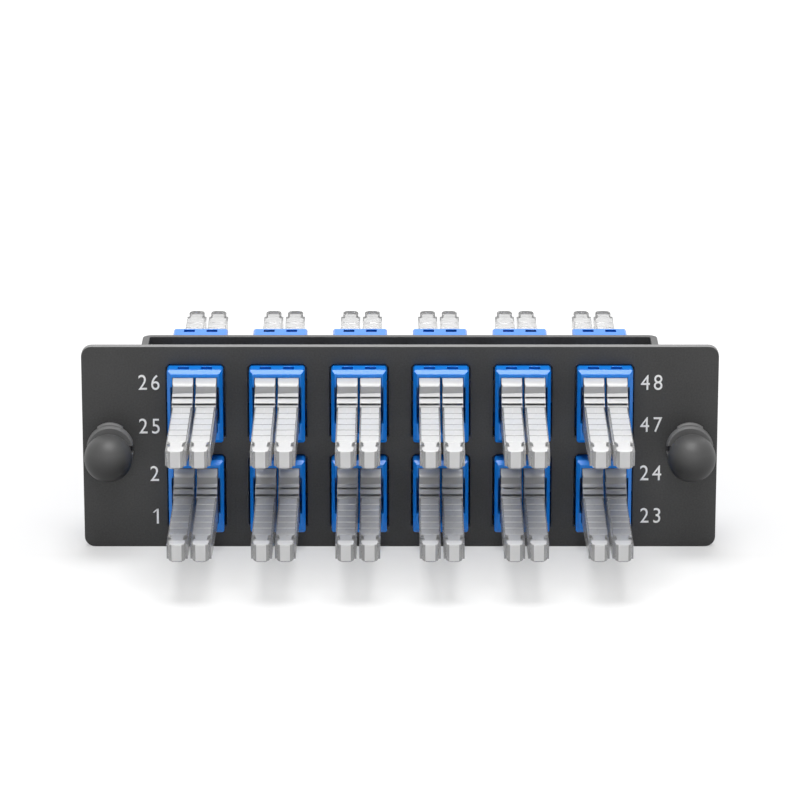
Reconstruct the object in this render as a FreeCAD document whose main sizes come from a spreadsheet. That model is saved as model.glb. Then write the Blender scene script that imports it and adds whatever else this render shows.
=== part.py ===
import FreeCAD, Part
import math
import os

import Sketcher

# Fibre adapter panel: a steel plate with a folded bracket behind it that carries two rows of adapters.
# Every port is closed by a pull-out dust cap, and two push-pull plungers fasten the panel.
# X runs along the panel, Y runs from the front to the rear and Z is up.
# The origin is the centre of the plate's back face.

COLUMNS = 6
ROWS = 2
BALL_SIDES = 18
BALL_RINGS = 7

# Driving sizes in millimetres, by name, with what each one measures.
SIZES = [
    ("cap_width", 3.5, "dust cap"),
    ("cap_height", 9.75, "dust cap where it enters the port"),
    ("cap_gap", 0.1, "dust cap to port, each side"),
    ("cap_space", 0.45, "cap to cap in one adapter"),
    ("plug_depth", 7.5, "dust cap inside the port"),
    ("nose_length", 3.0, "sloped nose in front of the port, outwards"),
    ("nose_height", 2.75, "sloped nose, downwards"),
    ("nose_step", 0.3, "step below the nose"),
    ("band_length", 1.0, "first band after the nose"),
    ("band_fall", 0.2, "first band, downwards"),
    ("lip_height", 0.35, "second band below the first"),
    ("lip_length", 0.95, "second band"),
    ("ridge_step", 0.1, "ridge below the second band"),
    ("ridge_length", 18.9, "ridge along the handle's top"),
    ("ridge_width", 3.0, "ridge along the handle's top"),
    ("ridge_height", 0.65, "ridge above the handle's shoulders"),
    ("handle_drop", 0.475, "end block's middle below the port's centre"),
    ("shoulder_length", 3.3, "shoulders past the ridge"),
    ("neck_length", 2.55, "ridge's end to the neck"),
    ("neck_width", 1.95, "neck behind the end block"),
    ("flare_length", 0.6, "neck to the end block"),
    ("block_length", 2.15, "end block"),
    ("block_width", 2.75, "end block"),
    ("block_height", 3.15, "end block"),
    ("block_chamfer", 0.6, "end block's upright edges"),
    ("roof_wall", 1.225, "adapter above its ports"),
    ("floor_wall", 1.825, "adapter below its ports"),
    ("side_wall", 0.575, "adapter beside its ports, at the relief"),
    ("side_slot_height", 6.5, "relief beside each pair of ports"),
    ("side_slot_depth", 0.35, "relief beside each pair of ports"),
    ("adapter_length", 26.5, "adapter housing, mouth to mouth"),
    ("adapter_bevel", 0.3, "adapter's long edges"),
    ("mouth_chamfer", 0.65, "round the adapter's two ends"),
    ("flange_thickness", 2.0, "adapter flange behind the bracket's wall"),
    ("flange_rim", 1.2, "flange beyond the housing"),
    ("flange_shift", 1.95, "flange in front of the housing's middle"),
    ("port_depth", 8.6, "port, mouth to inner wall"),
    ("divider_thickness", 0.25, "web between two ports"),
    ("divider_setback", 0.8, "web's edge behind the mouth"),
    ("window_width", 1.9, "latch window in the adapter's top"),
    ("window_length", 1.5, "latch window, along the adapter"),
    ("window_setback", 1.05, "latch window behind the mouth"),
    ("sleeve_slot_width", 1.7, "slot that holds one port's two alignment sleeves"),
    ("sleeve_slot_height", 5.5, "slot that holds one port's two alignment sleeves"),
    ("clip_sheet", 0.25, "spring clip"),
    ("clip_gap", 0.03, "clip to the bottom of its recess"),
    ("clip_length", 3.4, "clip, along the adapter"),
    ("clip_leg", 9.5, "clip, down the adapter's sides"),
    ("tab_height", 4.0, "clip's spring tab"),
    ("tab_setback", 0.4, "tab's root behind the clip's front edge"),
    ("tab_offset", 0.6, "tab's free end, outwards from the housing"),
    ("tab_gap", 0.1, "tab's free end to the bracket's wall"),
    ("column_gap", 2.1, "flange to flange along a row"),
    ("row_gap", 0.8, "flange to flange between rows"),
    ("bracket_side", 3.25, "last flange to the bracket's outside"),
    ("bracket_depth", 5.8, "plate's back face to the back of the bracket's wall"),
    ("bracket_sheet", 1.2, "bracket sheet"),
    ("bend_radius", 1.6, "bracket bends, outside"),
    ("wall_gap", 0.15, "bracket cut-out to adapter, each side"),
    ("plate_thickness", 1.5, "front plate sheet"),
    ("plate_corner_radius", 1.8, "front plate's outer corners"),
    ("edge_margin", 2.2, "flange to the plate's top and bottom edges"),
    ("ear_width", 10.3, "plate beyond the bracket, at each end"),
    ("cutout_gap", 0.3, "plate cut-out to adapter, each side"),
    ("fastener_inset", 4.75, "plunger axis from the plate's end"),
    ("neck_half", 3.05, "grommet's square neck in the plate, middle to flat"),
    ("neck_cut", 0.9, "square neck's corners"),
    ("core_radius", 2.6, "grommet inside its square neck"),
    ("hole_gap", 0.05, "grommet to plate hole, each side"),
    ("barrel_radius", 3.0, "grommet barrel behind the plate"),
    ("ring_length", 1.7, "barrel's plain ring behind the plate, before its legs"),
    ("barrel_length", 7.0, "grommet behind the plate's back face"),
    ("leg_step", 0.3, "legs inside the ring's radius"),
    ("collar_radius", 4.05, "grommet collar"),
    ("collar_height", 1.6, "grommet collar"),
    ("lug_radius", 4.5, "collar lugs, from the axis"),
    ("lug_width", 4.4, "collar lugs"),
    ("lug_round", 3.5, "collar lugs' outer curve"),
    ("lug_height", 0.8, "collar lugs"),
    ("notch_width", 1.2, "notches in the collar's sides"),
    ("notch_depth", 0.6, "notches in the collar's sides"),
    ("slit_width", 0.8, "slits between the barrel's legs"),
    ("slit_depth", 5.0, "slits, from the rear end"),
    ("shaft_radius", 1.55, "plunger shaft"),
    ("shaft_gap", 0.1, "plunger shaft to grommet"),
    ("shaft_length", 7.6, "plunger behind the plate's back face"),
    ("ball_radius", 4.1, "plunger's head"),
    ("ball_offset", 6.2, "head's centre in front of the plate"),
    ("ball_gap", 0.9, "head's flat back to the collar"),
]

# Sizes that follow from the driving ones.
DERIVED = [
    ("port_width", "Sizes.cap_width + 2 * Sizes.cap_gap"),
    ("port_height", "Sizes.cap_height + 2 * Sizes.cap_gap"),
    ("port_pitch", "Sizes.cap_width + Sizes.cap_space"),
    ("cavity_half", "(Derived.port_pitch + Derived.port_width) / 2"),
    ("port_lift", "(Sizes.floor_wall - Sizes.roof_wall) / 2"),
    ("port_top", "Derived.port_lift + Derived.port_height / 2"),
    ("port_bottom", "Derived.port_lift - Derived.port_height / 2"),
    ("adapter_half_width", "Derived.cavity_half + Sizes.side_slot_depth + Sizes.side_wall"),
    ("adapter_half_height", "(Derived.port_height + Sizes.roof_wall + Sizes.floor_wall) / 2"),
    ("flange_half_width", "Derived.adapter_half_width + Sizes.flange_rim"),
    ("flange_half_height", "Derived.adapter_half_height + Sizes.flange_rim"),
    ("adapter_middle", "Sizes.bracket_depth + Sizes.flange_thickness / 2 + Sizes.flange_shift"),
    ("flange_front", "Sizes.flange_shift + Sizes.flange_thickness / 2"),
    ("column_pitch", "2 * Derived.flange_half_width + Sizes.column_gap"),
    ("row_pitch", "2 * Derived.flange_half_height + Sizes.row_gap"),
    ("first_column", "-Derived.column_pitch * %d / 2" % (COLUMNS - 1)),
    ("first_row", "-Derived.row_pitch * %d / 2" % (ROWS - 1)),
    ("bracket_half", "-Derived.first_column + Derived.flange_half_width + Sizes.bracket_side"),
    ("plate_half_width", "Derived.bracket_half + Sizes.ear_width"),
    ("plate_half_height", "-Derived.first_row + Derived.flange_half_height + Sizes.edge_margin"),
    ("recess", "Sizes.clip_sheet + Sizes.clip_gap"),
    ("clip_front", "-Derived.flange_front - Sizes.clip_length"),
    ("clip_foot", "Derived.adapter_half_height - Sizes.clip_leg"),
    ("tab_end", "-Derived.flange_front - Sizes.bracket_sheet - Sizes.tab_gap"),
    ("band_level", "Sizes.cap_height / 2 - Sizes.nose_height - Sizes.nose_step"),
    ("lip_level", "Derived.band_level - Sizes.band_fall - Sizes.lip_height"),
    ("ridge_level", "Derived.lip_level - Sizes.ridge_step"),
    ("shoulder_level", "Derived.ridge_level - Sizes.ridge_height"),
    ("ridge_start", "Sizes.nose_length + Sizes.band_length + Sizes.lip_length"),
    ("ridge_end", "Derived.ridge_start + Sizes.ridge_length"),
    ("shoulder_end", "Derived.ridge_end + Sizes.shoulder_length"),
    ("neck_place", "Derived.ridge_end + Sizes.neck_length"),
    ("block_start", "Derived.neck_place + Sizes.flare_length"),
    ("block_end", "Derived.block_start + Sizes.block_length"),
    ("block_bottom", "-Sizes.handle_drop - Sizes.block_height / 2"),
    ("fastener_x", "Derived.plate_half_width - Sizes.fastener_inset"),
    ("lug_rise", "sqrt(Sizes.lug_round ^ 2 - (Sizes.lug_width / 2) ^ 2)"),
    ("lug_corner", "Sizes.lug_radius - Sizes.lug_round + Derived.lug_rise"),
    ("ball_back", "Sizes.collar_height + Sizes.ball_gap"),
    ("ball_back_angle", "acos((Derived.ball_back - Sizes.ball_offset) / Sizes.ball_radius)"),
]

doc = FreeCAD.newDocument("fibre_adapter_panel")


def fill_sheet(name, rows):
    """Adds a sheet with one aliased cell for each row, and the name and note beside it."""
    sheet = doc.addObject("Spreadsheet::Sheet", name)
    for number, (alias, value, note) in enumerate(rows, start=1):
        sheet.set(f"A{number}", alias)
        sheet.set(f"B{number}", value)
        sheet.setAlias(f"B{number}", alias)
        sheet.set(f"C{number}", note)
        doc.recompute()
    return sheet


sizes = fill_sheet("Sizes", [(alias, str(value), note) for alias, value, note in SIZES])
derived = fill_sheet("Derived", [(alias, "=" + rule, "derived") for alias, rule in DERIVED])


def number(rule):
    """The present value of an expression on the sheets."""
    return float(sizes.evalExpression(rule))


def new_body(name):
    body = doc.addObject("PartDesign::Body", name)
    body.Label = name
    return body


def new_sketch(body, plane, offset="0"):
    """An empty sketch on one of the body's own origin planes, moved along that plane's normal."""
    sketch = body.newObject("Sketcher::SketchObject", body.Name + "_sketch")
    found = [f for f in body.Origin.OriginFeatures if f.Role == plane + "_Plane"]
    sketch.AttachmentSupport = [(found[0], "")]
    sketch.MapMode = "FlatFace"
    sketch.setExpression(".AttachmentOffset.Base.z", offset)
    return sketch


def pin(sketch, geometry, end, x, y):
    """Ties one end of a line or arc to a place given by two expressions."""
    for kind, rule in (("DistanceX", x), ("DistanceY", y)):
        made = sketch.addConstraint(Sketcher.Constraint(kind, -1, 1, geometry, end, number(rule)))
        sketch.setExpression(f"Constraints[{made}]", rule)


def arc_between(a, b, radius, bend):
    """The arc from a to b whose centre is on the left of the way there, or on the right where bend is -1."""
    chord = b - a
    side = FreeCAD.Vector(-chord.y, chord.x, 0).normalize() * bend
    rise = math.sqrt(max(radius**2 - (chord.Length / 2) ** 2, 0.0))
    centre = (a + b) / 2 + side * rise
    first, last = (a, b) if bend > 0 else (b, a)
    angles = [math.atan2(p.y - centre.y, p.x - centre.x) for p in (first, last)]
    circle = Part.Circle(centre, FreeCAD.Vector(0, 0, 1), radius)
    return Part.ArcOfCircle(circle, *angles)


def draw(sketch, corners):
    """Draws a closed outline. A corner is (x, y), or (x, y, radius, bend) where an arc leads on from it."""
    base = sketch.GeometryCount
    count = len(corners)
    points = [FreeCAD.Vector(number(c[0]), number(c[1]), 0) for c in corners]
    ends = []
    for i, corner in enumerate(corners):
        a, b = points[i], points[(i + 1) % count]
        if len(corner) == 2:
            sketch.addGeometry(Part.LineSegment(a, b))
            ends.append((1, 2))
        else:
            sketch.addGeometry(arc_between(a, b, number(corner[2]), corner[3]))
            ends.append((1, 2) if corner[3] > 0 else (2, 1))
    for i in range(count):
        after = (i + 1) % count
        sketch.addConstraint(
            Sketcher.Constraint("Coincident", base + i, ends[i][1], base + after, ends[after][0])
        )
    for i, corner in enumerate(corners):
        pin(sketch, base + i, ends[i][0], corner[0], corner[1])
        if len(corner) > 2:
            made = sketch.addConstraint(Sketcher.Constraint("Radius", base + i, number(corner[2])))
            sketch.setExpression(f"Constraints[{made}]", corner[2])
    return sketch


def circle(sketch, x, y, radius):
    made = sketch.addGeometry(
        Part.Circle(FreeCAD.Vector(number(x), number(y), 0), FreeCAD.Vector(0, 0, 1), number(radius))
    )
    pin(sketch, made, 3, x, y)
    size = sketch.addConstraint(Sketcher.Constraint("Radius", made, number(radius)))
    sketch.setExpression(f"Constraints[{size}]", radius)
    return sketch


def box_corners(x, y, half_x, half_y):
    """The four corners of a rectangle about (x, y)."""
    left, right = f"{x} - ({half_x})", f"{x} + ({half_x})"
    low, high = f"{y} - ({half_y})", f"{y} + ({half_y})"
    return [(left, low), (right, low), (right, high), (left, high)]


def cut_corners(x, y, half_x, half_y, cut, radius=None):
    """A rectangle about (x, y) with its corners cut off flat, or rounded where a radius is given."""
    bend = (radius, 1) if radius else ()
    left, right = f"{x} - ({half_x})", f"{x} + ({half_x})"
    low, high = f"{y} - ({half_y})", f"{y} + ({half_y})"
    return [
        (f"{left} + {cut}", low),
        (f"{right} - {cut}", low, *bend),
        (right, f"{low} + {cut}"),
        (right, f"{high} - {cut}", *bend),
        (f"{right} - {cut}", high),
        (f"{left} + {cut}", high, *bend),
        (left, f"{high} - {cut}"),
        (left, f"{low} + {cut}", *bend),
    ]


def cross_corners(short, long):
    """A plus sign about the sketch's origin, from the half width and half length of its arms."""
    arm = [(short, f"-({long})"), (short, f"-({short})"), (long, f"-({short})")]
    right = arm + [(x, z) for x, z in ((long, short), (short, short), (short, long))]
    left = [(f"-({x})", z) for x, z in reversed(right)]
    return right + left


def pad(body, sketch, length, symmetric=False, reverse=False):
    feature = body.newObject("PartDesign::Pad", body.Name + "_pad")
    feature.Profile = sketch
    feature.setExpression("Length", length)
    feature.SideType = "Symmetric" if symmetric else "One side"
    feature.Reversed = reverse
    doc.recompute()
    return feature


def pocket(body, sketch, depth=None, reverse=False):
    """Cuts a sketch's outline to a depth, or right through both ways where no depth is given."""
    feature = body.newObject("PartDesign::Pocket", body.Name + "_pocket")
    feature.Profile = sketch
    before = body.Shape.Volume
    if depth is None:
        feature.Type = "ThroughAll"
        feature.SideType = "Symmetric"
    else:
        feature.setExpression("Length", depth)
        feature.Reversed = reverse
    doc.recompute()
    if not body.Shape.Volume < before:
        raise RuntimeError(feature.Label + " cuts nothing")
    return feature


def revolve(body, sketch):
    feature = body.newObject("PartDesign::Revolution", body.Name + "_revolution")
    feature.Profile = sketch
    feature.ReferenceAxis = (sketch, ["V_Axis"])
    feature.Angle = 360.0
    doc.recompute()
    return feature


def chamfer(body, base, name, size, test):
    """Cuts those edges of a feature whose two ends pass a test."""
    cut = body.newObject("PartDesign::Chamfer", f"{body.Name}_{name}")
    cut.Base = (base, [
        f"Edge{i}"
        for i, edge in enumerate(base.Shape.Edges, start=1)
        if test(edge.Vertexes[0], edge.Vertexes[-1])
    ])
    cut.setExpression("Size", size)
    doc.recompute()
    return cut


def mirror(body, features, plane):
    """Repeats features on the other side of one of the body's origin planes."""
    feature = body.newObject("PartDesign::Mirrored", body.Name + "_mirrored")
    feature.Originals = features
    found = [f for f in body.Origin.OriginFeatures if f.Role == plane + "_Plane"]
    feature.MirrorPlane = (found[0], [""])
    body.Tip = feature
    doc.recompute()
    return feature


def adapter_cutouts(body, gap, corner=None):
    """Cuts one column of adapter openings, a gap wider than the housing, and repeats it along the rows."""
    column = new_sketch(body, "XZ")
    half_x, half_z = f"Derived.adapter_half_width + {gap}", f"Derived.adapter_half_height + {gap}"
    for row in range(ROWS):
        place = ("Derived.first_column", f"Derived.first_row + {row} * Derived.row_pitch", half_x, half_z)
        draw(column, cut_corners(*place, corner) if corner else box_corners(*place))
    opening = pocket(body, column)
    columns = body.newObject("PartDesign::LinearPattern", body.Name + "_columns")
    columns.Originals = [opening]
    columns.Direction = (column, ["H_Axis"])
    columns.Mode = "Spacing"
    columns.setExpression("Offset", "Derived.column_pitch")
    columns.Occurrences = COLUMNS
    body.Tip = columns
    doc.recompute()
    return columns


def front_plate():
    """Flat sheet with rounded corners, a cut-out for each adapter and a square hole for each fastener."""
    body = new_body("front_plate")
    blank = new_sketch(body, "XZ")
    radius = "Sizes.plate_corner_radius"
    half_x, half_z = "Derived.plate_half_width", "Derived.plate_half_height"
    draw(blank, cut_corners("0", "0", half_x, half_z, radius, radius))
    pad(body, blank, "Sizes.plate_thickness")
    holes = new_sketch(body, "XZ")
    half = "Sizes.neck_half + Sizes.hole_gap"
    for side in ("-", ""):
        draw(holes, cut_corners(side + "Derived.fastener_x", "0", half, half, "Sizes.neck_cut"))
    pocket(body, holes)
    adapter_cutouts(body, "Sizes.cutout_gap", "(Sizes.adapter_bevel + Sizes.cutout_gap)")
    return body


def rear_bracket():
    """Folded channel: two side walls that meet the plate's back, and the wall that holds the adapters."""
    body = new_body("rear_bracket")
    section = new_sketch(body, "XY")
    half, deep = "Derived.bracket_half", "Sizes.bracket_depth"
    sheet, bend = "Sizes.bracket_sheet", "Sizes.bend_radius"
    inner_bend = f"{bend} - {sheet}"
    draw(section, [
        (half, "0"),
        (half, f"{deep} - {bend}", bend, 1),
        (f"{half} - {bend}", deep),
        (f"-{half} + {bend}", deep, bend, 1),
        (f"-{half}", f"{deep} - {bend}"),
        (f"-{half}", "0"),
        (f"-{half} + {sheet}", "0"),
        (f"-{half} + {sheet}", f"{deep} - {bend}", inner_bend, -1),
        (f"-{half} + {bend}", f"{deep} - {sheet}"),
        (f"{half} - {bend}", f"{deep} - {sheet}", inner_bend, -1),
        (f"{half} - {sheet}", f"{deep} - {bend}"),
        (f"{half} - {sheet}", "0"),
    ])
    pad(body, section, "2 * Derived.plate_half_height", symmetric=True)
    adapter_cutouts(body, "Sizes.wall_gap")
    return body


def adapter_housing():
    """Moulded housing about its own middle: flange, two ports at each end, windows and sleeve pockets."""
    body = new_body("adapter_housing")
    half_x, half_z = "Derived.adapter_half_width", "Derived.adapter_half_height"
    half_y = "Sizes.adapter_length / 2"
    outline = new_sketch(body, "XZ")
    draw(outline, box_corners("0", "0", half_x, half_z))
    block = pad(body, outline, "Sizes.adapter_length", symmetric=True)
    mouths = chamfer(body, block, "mouths", "Sizes.mouth_chamfer", lambda a, b: a.Y * b.Y > 0)
    chamfer(body, mouths, "edges", "Sizes.adapter_bevel", lambda a, b: a.Y * b.Y < 0)
    flange = new_sketch(body, "XZ", "Sizes.flange_shift")
    draw(flange, box_corners("0", "0", "Derived.flange_half_width", "Derived.flange_half_height"))
    pad(body, flange, "Sizes.flange_thickness", symmetric=True)
    clip_seat(body, half_x, half_z)

    cavity = new_sketch(body, "XZ", half_y)
    wide, slot = "Derived.cavity_half", "Derived.cavity_half + Sizes.side_slot_depth"
    low, high = "Derived.port_bottom", "Derived.port_top"
    slot_low = "Derived.port_lift - Sizes.side_slot_height / 2"
    slot_high = "Derived.port_lift + Sizes.side_slot_height / 2"
    right = [
        (wide, low), (wide, slot_low), (slot, slot_low),
        (slot, slot_high), (wide, slot_high), (wide, high),
    ]
    left = [(f"-({x})", z) for x, z in reversed(right)]
    draw(cavity, right + left)
    opening = pocket(body, cavity, "Sizes.port_depth")
    divider = new_sketch(body, "XZ", f"{half_y} - Sizes.port_depth")
    thin, tall = "Sizes.divider_thickness / 2", "Derived.port_height / 2"
    draw(divider, box_corners("0", "Derived.port_lift", thin, tall))
    web = pad(body, divider, "Sizes.port_depth - Sizes.divider_setback")
    windows = new_sketch(body, "XY", half_z)
    window_y = f"-{half_y} + Sizes.window_setback + Sizes.window_length / 2"
    for side in ("-", ""):
        draw(windows, box_corners(
            f"{side}Derived.port_pitch / 2", window_y, "Sizes.window_width / 2", "Sizes.window_length / 2"))
    latch = pocket(body, windows, f"{half_z} - Derived.port_top + Sizes.cap_gap")
    mirror(body, [opening, web, latch], "XZ")

    sleeves = new_sketch(body, "XZ")
    narrow, tall = "Sizes.sleeve_slot_width / 2", "Sizes.sleeve_slot_height / 2"
    for side in ("-", ""):
        draw(sleeves, box_corners(f"{side}Derived.port_pitch / 2", "Derived.port_lift", narrow, tall))
    pocket(body, sleeves)
    return body


def clip_seat(body, half_x, half_z):
    """Shallow recess over the housing's top and sides, in front of the flange, for the spring clip."""
    seat = new_sketch(body, "XZ", "Derived.flange_front")
    floor_x, floor_z = f"{half_x} - Derived.recess", f"{half_z} - Derived.recess"
    far_x, far_z = "Derived.flange_half_width", "Derived.flange_half_height"
    foot = "Derived.clip_foot - Sizes.clip_gap"
    draw(seat, [
        (far_x, foot), (far_x, far_z), (f"-({far_x})", far_z), (f"-({far_x})", foot),
        (f"-({floor_x})", foot), (f"-({floor_x})", floor_z), (floor_x, floor_z), (floor_x, foot),
    ])
    pocket(body, seat, "Sizes.clip_length", reverse=True)


def spring_clip():
    """Folded strip over the adapter, with a tab on each side that springs out before the bracket's wall."""
    body = new_body("spring_clip")
    half_x, half_z = "Derived.adapter_half_width", "Derived.adapter_half_height"
    inner_x, inner_z = f"{half_x} - Sizes.clip_sheet", f"{half_z} - Sizes.clip_sheet"
    foot = "Derived.clip_foot"
    strip = new_sketch(body, "XZ", "Derived.flange_front")
    draw(strip, [
        (half_x, foot), (half_x, half_z), (f"-{half_x}", half_z), (f"-{half_x}", foot),
        (f"-({inner_x})", foot), (f"-({inner_x})", inner_z), (inner_x, inner_z), (inner_x, foot),
    ])
    pad(body, strip, "Sizes.clip_length")
    tab = new_sketch(body, "XY", "Derived.port_lift")
    root, tip = "Derived.clip_front + Sizes.tab_setback", "Derived.tab_end"
    draw(tab, [
        (inner_x, root), (half_x, root),
        (f"{half_x} + Sizes.tab_offset", tip), (f"{inner_x} + Sizes.tab_offset", tip),
    ])
    mirror(body, [pad(body, tab, "Sizes.tab_height", symmetric=True)], "YZ")
    return body


def dust_cap():
    """Cap about the middle of its port's mouth, with its handle towards the front."""
    body = new_body("dust_cap")
    top = "Sizes.cap_height / 2"
    side = new_sketch(body, "YZ")
    band_end = "-Sizes.nose_length - Sizes.band_length"
    draw(side, [
        ("Sizes.plug_depth", f"-{top}"),
        ("Sizes.plug_depth", top),
        ("0", top),
        ("-Sizes.nose_length * 0.43", f"{top} - Sizes.nose_height * 0.35"),
        ("-Sizes.nose_length * 0.57", f"{top} - Sizes.nose_height * 0.7"),
        ("-Sizes.nose_length", f"{top} - Sizes.nose_height"),
        ("-Sizes.nose_length", "Derived.band_level"),
        (band_end, "Derived.band_level - Sizes.band_fall"),
        (band_end, "Derived.lip_level"),
        ("-Derived.ridge_start", "Derived.lip_level"),
        ("-Derived.ridge_start", "Derived.shoulder_level"),
        ("-Derived.shoulder_end", "Derived.shoulder_level"),
        ("-Derived.shoulder_end", "Derived.block_bottom"),
        ("0", f"-{top}"),
    ])
    pad(body, side, "Sizes.cap_width", symmetric=True)

    ridge = new_sketch(body, "YZ")
    inside, low = "-Derived.ridge_start + Sizes.lip_length / 2", "-Sizes.handle_drop"
    draw(ridge, [
        (inside, low), (inside, "Derived.ridge_level"),
        ("-Derived.ridge_end", "Derived.ridge_level"), ("-Derived.ridge_end", low),
    ])
    pad(body, ridge, "Sizes.ridge_width", symmetric=True)

    plan = new_sketch(body, "XY", "-Sizes.handle_drop")
    right = [
        ("Sizes.block_width / 2 - Sizes.block_chamfer", "-Derived.block_end"),
        ("Sizes.block_width / 2", "-Derived.block_end + Sizes.block_chamfer"),
        ("Sizes.block_width / 2", "-Derived.block_start"),
        ("Sizes.neck_width / 2", "-Derived.neck_place"),
        ("Sizes.ridge_width / 2", "-Derived.ridge_end"),
    ]
    left = [(f"-({x})", y) for x, y in reversed(right)]
    draw(plan, right + left)
    pad(body, plan, "Sizes.block_height", symmetric=True)
    return body


def grommet():
    """Bush about the plunger's axis: lugged collar, square neck in the plate, then a plain ring and legs."""
    body = new_body("grommet")
    front = "-Sizes.plate_thickness"
    half = new_sketch(body, "XY")
    draw(half, [
        ("0", f"{front} - Sizes.collar_height"),
        ("Sizes.collar_radius", f"{front} - Sizes.collar_height"),
        ("Sizes.collar_radius", front),
        ("Sizes.core_radius", front),
        ("Sizes.core_radius", "0"),
        ("Sizes.barrel_radius", "0"),
        ("Sizes.barrel_radius", "Sizes.ring_length"),
        ("Sizes.barrel_radius - Sizes.leg_step", "Sizes.ring_length"),
        ("Sizes.barrel_radius - Sizes.leg_step", "Sizes.barrel_length"),
        ("0", "Sizes.barrel_length"),
    ])
    revolve(body, half)
    neck = new_sketch(body, "XZ")
    draw(neck, cut_corners("0", "0", "Sizes.neck_half", "Sizes.neck_half", "Sizes.neck_cut"))
    pad(body, neck, "Sizes.plate_thickness")
    lugs = new_sketch(body, "XZ", "Sizes.plate_thickness")
    across, up, bend = "Sizes.lug_width / 2", "Derived.lug_corner", "Sizes.lug_round"
    draw(lugs, [
        (across, f"-({up})"), (across, up, bend, 1),
        (f"-({across})", up), (f"-({across})", f"-({up})", bend, 1),
    ])
    pad(body, lugs, "Sizes.lug_height")
    notches = new_sketch(body, "XZ", "Sizes.plate_thickness + Sizes.collar_height")
    for side in ("-", ""):
        edge = f"{side}Sizes.collar_radius"
        draw(notches, box_corners(edge, "0", "Sizes.notch_depth", "Sizes.notch_width / 2"))
    pocket(body, notches, "Sizes.collar_height")
    slits = new_sketch(body, "XZ", "-Sizes.barrel_length")
    draw(slits, cross_corners("Sizes.slit_width / 2", "Sizes.collar_radius"))
    pocket(body, slits, "Sizes.slit_depth", reverse=True)
    bore = new_sketch(body, "XZ")
    circle(bore, "0", "0", "Sizes.shaft_radius + Sizes.shaft_gap")
    pocket(body, bore)
    return body


def faceted_ball(sides, rings):
    """Flat-faced ball about the plunger's axis, from a small flat at its front to its flat back."""
    radius, back_angle = number("Sizes.ball_radius"), number("Derived.ball_back_angle")
    middle = number("-Sizes.plate_thickness - Sizes.ball_offset")
    around = [2 * math.pi * i / sides for i in range(sides)]
    levels = []
    for ring in range(1, rings + 1):
        angle = math.radians(back_angle * ring / rings)
        across, y = radius * math.sin(angle), middle - radius * math.cos(angle)
        levels.append([FreeCAD.Vector(across * math.cos(t), y, across * math.sin(t)) for t in around])
    loops = [levels[0], levels[-1]]
    for near, far in zip(levels, levels[1:]):
        loops += [[near[i - 1], near[i], far[i], far[i - 1]] for i in range(sides)]
    faces = [Part.Face(Part.makePolygon(loop + loop[:1])) for loop in loops]
    solid = Part.Solid(Part.Shell(faces))
    solid.fixTolerance(0.0001)
    if solid.Volume < 0:
        solid.reverse()
    return solid


def plunger():
    """Ball head with a flat back, and the round shaft that slides in the grommet."""
    head = doc.addObject("Part::Feature", "ball")
    head.Shape = faceted_ball(BALL_SIDES, BALL_RINGS)
    shaft = doc.addObject("Part::Cylinder", "shaft")
    shaft.Placement.Rotation = FreeCAD.Rotation(FreeCAD.Vector(1, 0, 0), -90)
    shaft.setExpression("Radius", "Sizes.shaft_radius")
    shaft.setExpression("Height", "Sizes.plate_thickness + Derived.ball_back + Sizes.shaft_length")
    shaft.setExpression(".Placement.Base.y", "-Sizes.plate_thickness - Derived.ball_back")
    whole = doc.addObject("Part::MultiFuse", "plunger")
    whole.Shapes = [head, shaft]
    doc.recompute()
    return whole


def copy_of(master, name, x, y, z, turn=0.0):
    """One copy of a master piece at a place given by expressions, turned about the upright axis."""
    copy = doc.addObject("Part::Compound", name)
    copy.Label = name
    copy.Links = [master]
    copy.Placement = FreeCAD.Placement(FreeCAD.Vector(), FreeCAD.Rotation(FreeCAD.Vector(0, 0, 1), turn))
    for axis, rule in (("x", x), ("y", y), ("z", z)):
        copy.setExpression(".Placement.Base." + axis, rule)
    return copy


def group(name, pieces):
    """One node of several like pieces."""
    node = doc.addObject("Part::Compound", name)
    node.Label = name
    node.Links = pieces
    return node


nodes = [front_plate(), rear_bracket()]

housing, clip = adapter_housing(), spring_clip()
clips = []
for row, row_name in enumerate(("lower", "upper")):
    row_z = f"Derived.first_row + {row} * Derived.row_pitch"
    housings = []
    for column in range(COLUMNS):
        place = (f"Derived.first_column + {column} * Derived.column_pitch", "Derived.adapter_middle", row_z)
        housings.append(copy_of(housing, f"housing_{row_name}_{column + 1}", *place))
        clips.append(copy_of(clip, f"clip_{row_name}_{column + 1}", *place))
    nodes.append(group(f"adapters_{row_name}_row", housings))
nodes.append(group("adapter_clips", clips))

cap = dust_cap()
ENDS = (("front", "-", 0.0), ("rear", "+", 180.0))
for end_name, sign, turn in ENDS:
    mouth = f"Derived.adapter_middle {sign} Sizes.adapter_length / 2"
    for row in range(ROWS):
        port_z = f"Derived.first_row + {row} * Derived.row_pitch + Derived.port_lift"
        for port in range(2 * COLUMNS):
            side = "+" if port % 2 else "-"
            column_x = f"Derived.first_column + {port // 2} * Derived.column_pitch"
            port_x = f"{column_x} {side} Derived.port_pitch / 2"
            name = f"{end_name}_cap_{row * 2 * COLUMNS + port + 1:02d}"
            nodes.append(copy_of(cap, name, port_x, mouth, port_z, turn))

bush, knob = grommet(), plunger()
for side_name, sign in (("left", "-"), ("right", "")):
    nodes.append(copy_of(bush, f"{side_name}_grommet", f"{sign}Derived.fastener_x", "0", "0"))
    nodes.append(copy_of(knob, f"{side_name}_plunger", f"{sign}Derived.fastener_x", "0", "0"))

doc.recompute()
for item in doc.Objects:
    if {"Invalid", "Error"} & set(item.State):
        raise RuntimeError(f"{item.Label} failed: {item.State}")
for node in nodes:
    if node.Shape.isNull() or not node.Shape.isValid():
        raise RuntimeError(f"{node.Label} has no valid shape")

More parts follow.
